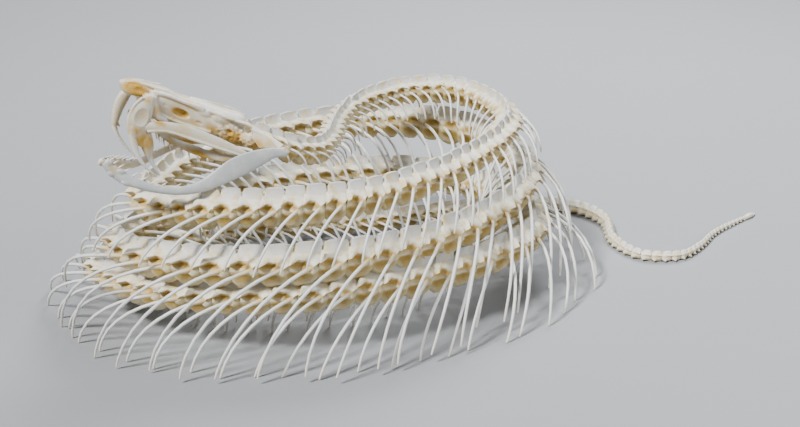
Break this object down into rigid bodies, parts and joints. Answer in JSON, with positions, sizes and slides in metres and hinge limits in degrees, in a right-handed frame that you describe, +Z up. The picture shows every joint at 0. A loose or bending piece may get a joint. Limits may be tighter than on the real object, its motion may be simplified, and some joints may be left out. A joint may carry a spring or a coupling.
{
  "type": "coiled pit viper skeleton",
  "caption": "Life-size skeleton of a coiled pit viper, with its head raised, its jaws open on long curved fangs, and its tail trailing along the floor",
  "frame": {"origin": "on the floor, under the middle of the whole outline", "axes": "+X from the side where the head is to the tail's tip, +Y from the front of the coil to its back, +Z up"},
  "size_m": [0.2482, 0.1532, 0.082],
  "materials": {
    "bone": "dry cleaned bone, grey-white on spines and ribs, ochre in the hollows",
    "skull_bone": "dry cleaned bone, smooth, with ochre stains at the snout and the eye socket",
    "tooth": "smooth ivory-white fang and tooth, slightly translucent"
  },
  "bodies": {
    "root": {"neck_left": "bone", "neck_right": "bone", "trunk_1_left": "bone", "trunk_1_right": "bone", "trunk_2_left": "bone", "trunk_2_right": "bone", "trunk_3_left": "bone", "trunk_3_right": "bone", "trunk_4_left": "bone", "trunk_4_right": "bone", "trunk_5_left": "bone", "trunk_5_right": "bone", "trunk_6_left": "bone", "trunk_6_right": "bone", "trunk_7_left": "bone", "trunk_7_right": "bone", "trunk_8_left": "bone", "trunk_8_right": "bone", "trunk_9_left": "bone", "trunk_9_right": "bone", "trunk_10_left": "bone", "trunk_10_right": "bone", "trunk_11_left": "bone", "trunk_11_right": "bone", "trunk_12_left": "bone", "trunk_12_right": "bone", "trunk_13_left": "bone", "trunk_13_right": "bone", "trunk_14_left": "bone", "trunk_14_right": "bone", "trunk_15_left": "bone", "trunk_15_right": "bone", "trunk_16_left": "bone", "trunk_16_right": "bone", "trunk_17_left": "bone", "trunk_17_right": "bone", "tail_1": "bone", "tail_2": "bone", "tail_3": "bone", "cranium": "skull_bone", "palate_left": "skull_bone", "palate_right": "skull_bone", "quadrate_left": "skull_bone", "quadrate_right": "skull_bone", "lower_jaw_left": "skull_bone", "lower_jaw_right": "skull_bone", "maxilla_left": "tooth", "maxilla_right": "tooth"}
  },
  "joints": []
}
